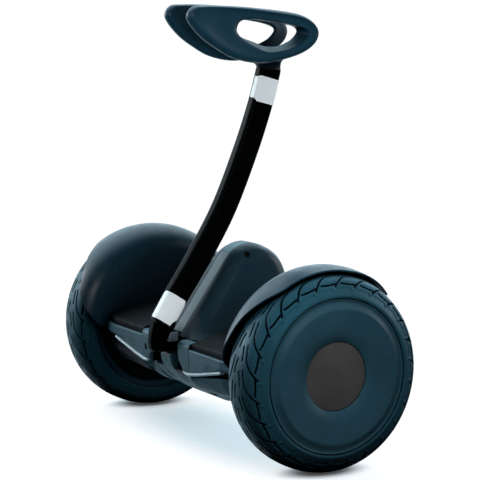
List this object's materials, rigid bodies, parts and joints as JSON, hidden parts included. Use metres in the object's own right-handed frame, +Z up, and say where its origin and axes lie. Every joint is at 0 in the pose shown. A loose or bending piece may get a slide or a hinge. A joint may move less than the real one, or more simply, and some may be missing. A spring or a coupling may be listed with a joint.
{
  "type": "self-balancing knee-steered scooter",
  "caption": "Self-balancing scooter on side-by-side hub-motor wheels, with foot mats beside a centre console and a curved steering bar that ends in knee pads.",
  "frame": {"origin": "on the floor under the middle of the scooter, under the wheels' axis", "axes": "+X along the wheel axis to the scooter's left wheel, -Y forwards to where the steering bar stands, +Z up"},
  "size_m": [0.548, 0.26, 0.5955],
  "materials": {
    "charcoal_plastic": "satin black moulded plastic",
    "hull_alloy": "black painted cast alloy",
    "satin_grey": "satin dark grey plastic",
    "mat_rubber": "matt moulded rubber",
    "tyre_rubber": "tread rubber",
    "cover_plastic": "satin dark slate plastic",
    "gloss_cap": "glossy brown black",
    "pad_foam": "soft moulded foam with a matt skin",
    "bar_paint": "satin black paint",
    "lens_white": "frosted lens",
    "lens_red": "red lens",
    "cast_alloy": "cast alloy",
    "steel": "machined steel",
    "copper": "enamelled copper wire",
    "board_green": "circuit board",
    "cell_wrap": "wrapped cells",
    "soft_rubber": "soft rubber"
  },
  "bodies": {
    "chassis": {"chassis_frame": "cast_alloy", "bottom_cover": "hull_alloy", "front_housing": "satin_grey", "rear_housing": "satin_grey", "charge_port": "charcoal_plastic", "console_front_panel": "satin_grey", "console_side_left": "charcoal_plastic", "console_side_right": "charcoal_plastic", "console_top_cover": "satin_grey", "deck_cover_left": "satin_grey", "deck_cover_right": "satin_grey", "foot_mat_left": "mat_rubber", "foot_mat_right": "mat_rubber", "foot_sensor_left": "soft_rubber", "foot_sensor_right": "soft_rubber", "fender_left": "charcoal_plastic", "fender_right": "charcoal_plastic", "light_strip_left": "lens_white", "light_strip_right": "lens_white", "tail_light_left": "lens_red", "tail_light_right": "lens_red", "battery_pack": "cell_wrap", "control_board": "board_green", "motor_driver": "cast_alloy", "axle_clamp_left": "cast_alloy", "axle_clamp_right": "cast_alloy", "axle_left": "steel", "axle_right": "steel", "stator_core_left": "steel", "stator_core_right": "steel", "stator_winding_left": "copper", "stator_winding_right": "copper", "pivot_housing": "cast_alloy", "pivot_bush": "steel", "centring_spring": "steel", "angle_sensor": "board_green"},
    "wheel_left": {"tyre_left": "tyre_rubber", "rim_left": "hull_alloy", "rim_cover_left": "cover_plastic", "centre_cap_left": "gloss_cap", "motor_shield_left": "hull_alloy", "magnet_ring_left": "steel", "inner_bearing_left": "steel", "outer_bearing_left": "steel"},
    "wheel_right": {"tyre_right": "tyre_rubber", "rim_right": "hull_alloy", "rim_cover_right": "cover_plastic", "centre_cap_right": "gloss_cap", "motor_shield_right": "hull_alloy", "magnet_ring_right": "steel", "inner_bearing_right": "steel", "outer_bearing_right": "steel"},
    "steering": {"steering_socket": "bar_paint"},
    "bar": {"steering_bar": "bar_paint", "bar_neck": "charcoal_plastic", "knee_pad_left": "pad_foam", "knee_pad_right": "pad_foam"},
    "tab": {"release_tab": "satin_grey"},
    "button": {"power_button": "soft_rubber"},
    "cap": {"charge_port_cap": "soft_rubber"}
  },
  "joints": [
    {"name": "left_wheel_spin", "type": "hinge", "parent": "chassis", "child": "wheel_left", "pos_m": [0.2395, 0, 0.13], "axis": [1, 0, 0], "continuous": true},
    {"name": "right_wheel_spin", "type": "hinge", "parent": "chassis", "child": "wheel_right", "pos_m": [-0.2395, 0, 0.13], "axis": [1, 0, 0], "continuous": true},
    {"name": "steering_lean", "type": "hinge", "parent": "chassis", "child": "steering", "pos_m": [0, -0.08, 0.137], "axis": [0, 1, 0], "range_deg": [-12, 12], "stiffness_Nm_per_rad": 30},
    {"name": "bar_lift", "type": "slide", "parent": "steering", "child": "bar", "axis": [0, 0.4209, 0.9071], "range_m": [0, 0.04]},
    {"name": "release_tab_press", "type": "hinge", "parent": "steering", "child": "tab", "pos_m": [0.026, -0.1085, 0.146], "axis": [0, -1, 0], "range_deg": [0, 12], "stiffness_Nm_per_rad": 0.05, "springref_deg": -11.46},
    {"name": "power_button_press", "type": "slide", "parent": "chassis", "child": "button", "axis": [0, -1, 0], "range_m": [0, 0.0012], "stiffness_N_per_m": 800, "springref_m": -0.001},
    {"name": "charge_cap_open", "type": "hinge", "parent": "chassis", "child": "cap", "pos_m": [-0.026, 0.1042, 0.1264], "axis": [1, 0, 0], "range_deg": [0, 110], "stiffness_Nm_per_rad": 0.002, "springref_deg": -5.73}
  ]
}
